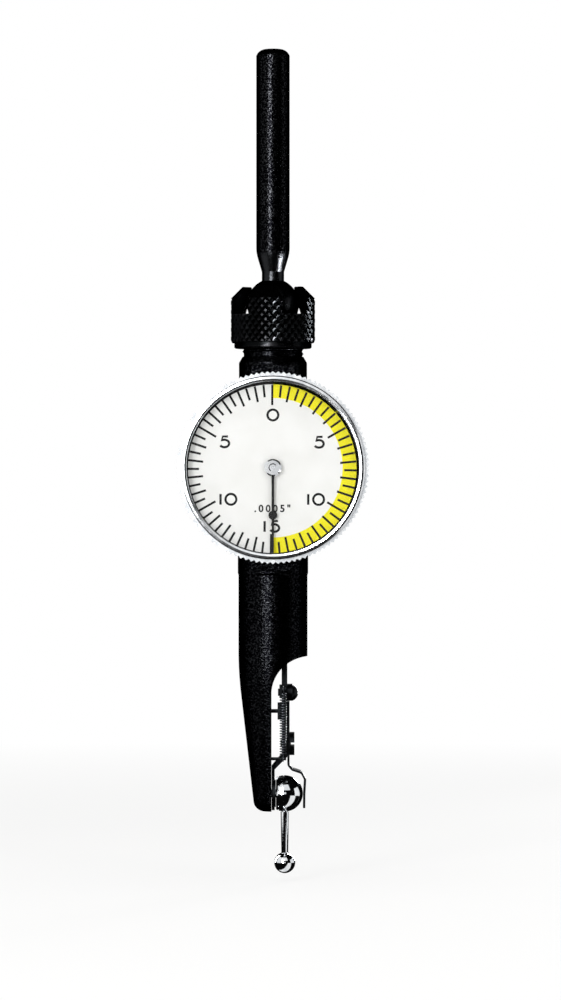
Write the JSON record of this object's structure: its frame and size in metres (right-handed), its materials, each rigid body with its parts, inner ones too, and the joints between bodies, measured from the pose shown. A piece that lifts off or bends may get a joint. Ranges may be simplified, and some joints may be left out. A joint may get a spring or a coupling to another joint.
{
  "type": "dial test indicator",
  "caption": "Dial test indicator with round face, rotating bezel, swivel ball contact, knurled ball-joint friction holder and straight round shank.",
  "frame": {"origin": "on the shank's axis, at the upper end of its straight round wall", "axes": "+Z along the shank towards its free end, -Y the way the dial faces, +X the side with the open mechanism"},
  "size_m": [0.0362, 0.019, 0.1564],
  "materials": {
    "black_oxide_steel": "satin black oxide",
    "knurled_black_steel": "satin black oxide, knurled",
    "black_enamel": "fine crinkle black enamel",
    "phosphor_bronze": "turned",
    "spring_steel": "tempered",
    "polished_steel": "polished",
    "blued_steel": "blackened",
    "hard_chrome": "mirror",
    "chromed_bezel": "satin chrome, serrated rim",
    "brass": "cut",
    "bright_steel": "turned",
    "white_dial": "matte white",
    "black_paint": "matte black",
    "clear_crystal": "clear"
  },
  "bodies": {
    "shank": {"shank": "black_oxide_steel"},
    "ball": {"swivel_ball": "black_oxide_steel"},
    "nut": {"knurled_nut": "knurled_black_steel"},
    "case": {"case": "black_enamel", "ball_seat": "phosphor_bronze", "friction_spring": "spring_steel", "pivot_bush": "phosphor_bronze", "lever_stop": "polished_steel", "spring_pin": "polished_steel", "lower_bearing": "phosphor_bronze", "movement_bridge": "brass", "dial_housing": "bright_steel", "housing_screws": "polished_steel", "snap_ring": "spring_steel", "hand_bush": "phosphor_bronze", "hairspring_stud": "brass", "hairspring": "spring_steel", "return_spring": "spring_steel"},
    "bezel": {"bezel": "chromed_bezel", "dial": "white_dial", "dial_spacer": "black_paint", "crystal": "clear_crystal"},
    "hand": {"hand": "black_paint", "hand_hub": "polished_steel", "hand_arbor": "bright_steel", "hand_pinion": "brass", "hairspring_collet": "brass"},
    "spindle": {"spindle": "bright_steel", "spindle_pinion": "brass", "crown_gear": "brass"},
    "lever": {"lever_arm": "blued_steel", "lever_pivot": "polished_steel", "friction_washer": "phosphor_bronze", "leaf_spring": "spring_steel", "leaf_screw": "blued_steel", "lever_screw": "blued_steel", "spring_anchor": "blued_steel"},
    "contact": {"swivel_hub": "polished_steel", "contact_point": "hard_chrome"}
  },
  "joints": [
    {"name": "shank_turn", "type": "hinge", "parent": "shank", "child": "ball", "pos_m": [0, 0, -0.04722], "axis": [0, 0, 1], "continuous": true},
    {"name": "holder_tilt", "type": "hinge", "parent": "ball", "child": "nut", "pos_m": [0, 0, -0.04722], "axis": [0.8261, 0.5635, 0], "range_deg": [-80, 80]},
    {"name": "case_turn", "type": "hinge", "parent": "nut", "child": "case", "pos_m": [0, 0, -0.053], "axis": [0, 0, 1], "range_deg": [-90, 90]},
    {"name": "bezel_turn", "type": "hinge", "parent": "case", "child": "bezel", "pos_m": [0, -0.008, -0.07828], "axis": [0, 1, 0], "continuous": true},
    {"name": "contact_swing", "type": "hinge", "parent": "case", "child": "lever", "pos_m": [0.00224, 0, -0.1401], "axis": [-1, 0, 0], "range_deg": [0, 3.33], "stiffness_Nm_per_rad": 0.02, "springref_deg": -6.88, "deforming": ["return_spring"]},
    {"name": "contact_swivel", "type": "hinge", "parent": "lever", "child": "contact", "pos_m": [0.00224, 0, -0.1401], "axis": [1, 0, 0], "range_deg": [-105, 105]},
    {"name": "spindle_turn", "type": "hinge", "parent": "case", "child": "spindle", "pos_m": [0, 0, -0.1], "axis": [0, 0, 1], "range_deg": [0, 90.1]},
    {"name": "hand_turn", "type": "hinge", "parent": "case", "child": "hand", "pos_m": [0, -0.008, -0.07828], "axis": [0, 1, 0], "range_deg": [0, 360.1]}
  ],
  "couplings": [
    {"joint": "spindle_turn", "follows": "contact_swing", "ratio": 27},
    {"joint": "hand_turn", "follows": "contact_swing", "ratio": 108}
  ]
}
